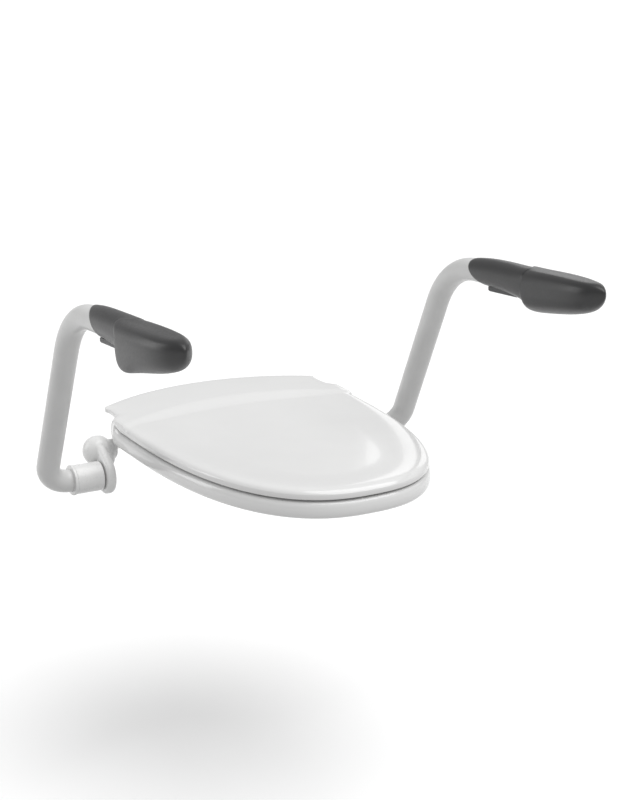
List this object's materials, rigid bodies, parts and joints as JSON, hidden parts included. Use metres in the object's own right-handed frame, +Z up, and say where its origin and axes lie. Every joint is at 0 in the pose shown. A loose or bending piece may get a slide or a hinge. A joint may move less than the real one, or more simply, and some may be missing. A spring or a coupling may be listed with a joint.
{
  "type": "toilet seat with arm supports",
  "caption": "Toilet seat and lid on a steel mounting plate, with two white tubular arm supports that fold up beside it and end in dark foam arm pads.",
  "frame": {"origin": "midway between the two mounting slots, on the underside of the mounting plate, the plane of the bowl rim", "axes": "+Z up, -Y towards the nose of the seat, X across it"},
  "size_m": [0.624, 0.6067, 0.3455],
  "materials": {
    "seat_white": "glossy white thermoset plastic",
    "fitting_white": "satin white moulded plastic",
    "powder_coat": "light grey white powder coat on steel tube",
    "pad_foam": "satin dark grey integral skin foam",
    "clip_plastic": "dark grey moulded plastic",
    "buffer_rubber": "soft light grey rubber",
    "nylon": "natural nylon",
    "steel": "brushed stainless steel"
  },
  "bodies": {
    "frame": {"arm_pivot_pin_left": "steel", "arm_pivot_pin_right": "steel", "hinge_post_left": "steel", "hinge_post_right": "steel", "hinge_post_screws": "steel", "hinge_rod": "steel", "housing_grub_screws": "steel", "mounting_plate": "steel", "pivot_circlip_left": "steel", "pivot_circlip_right": "steel", "pivot_housing_left": "fitting_white", "pivot_housing_right": "fitting_white", "rod_end_caps": "nylon", "thrust_washer_left": "nylon", "thrust_washer_right": "nylon"},
    "seat": {"seat_buffers": "buffer_rubber", "seat_hinge_bushes": "nylon", "seat_ring": "seat_white"},
    "lid": {"lid_buffers": "buffer_rubber", "lid_hinge_bushes": "nylon", "lid_shell": "seat_white"},
    "arm_left": {"arm_bush_left": "nylon", "arm_pad_left": "pad_foam", "arm_sleeve_left": "fitting_white", "arm_tube_left": "powder_coat", "clip_screws_left": "steel", "pad_clip_left": "clip_plastic", "sleeve_collar_left": "fitting_white", "sleeve_screw_left": "steel", "tube_plug_left": "nylon"},
    "arm_right": {"arm_bush_right": "nylon", "arm_pad_right": "pad_foam", "arm_sleeve_right": "fitting_white", "arm_tube_right": "powder_coat", "clip_screws_right": "steel", "pad_clip_right": "clip_plastic", "sleeve_collar_right": "fitting_white", "sleeve_screw_right": "steel", "tube_plug_right": "nylon"}
  },
  "joints": [
    {"name": "seat_hinge", "type": "hinge", "parent": "frame", "child": "seat", "pos_m": [0, 0.04, 0.04], "axis": [-1, 0, 0], "range_deg": [0, 90]},
    {"name": "lid_hinge", "type": "hinge", "parent": "seat", "child": "lid", "pos_m": [0, 0.04, 0.04], "axis": [-1, 0, 0], "range_deg": [0, 95]},
    {"name": "left_arm_fold", "type": "hinge", "parent": "frame", "child": "arm_left", "pos_m": [-0.222, -0.036, -0.026], "axis": [-1, 0, 0], "range_deg": [0, 90]},
    {"name": "right_arm_fold", "type": "hinge", "parent": "frame", "child": "arm_right", "pos_m": [0.222, -0.036, -0.026], "axis": [-1, 0, 0], "range_deg": [0, 90]}
  ]
}
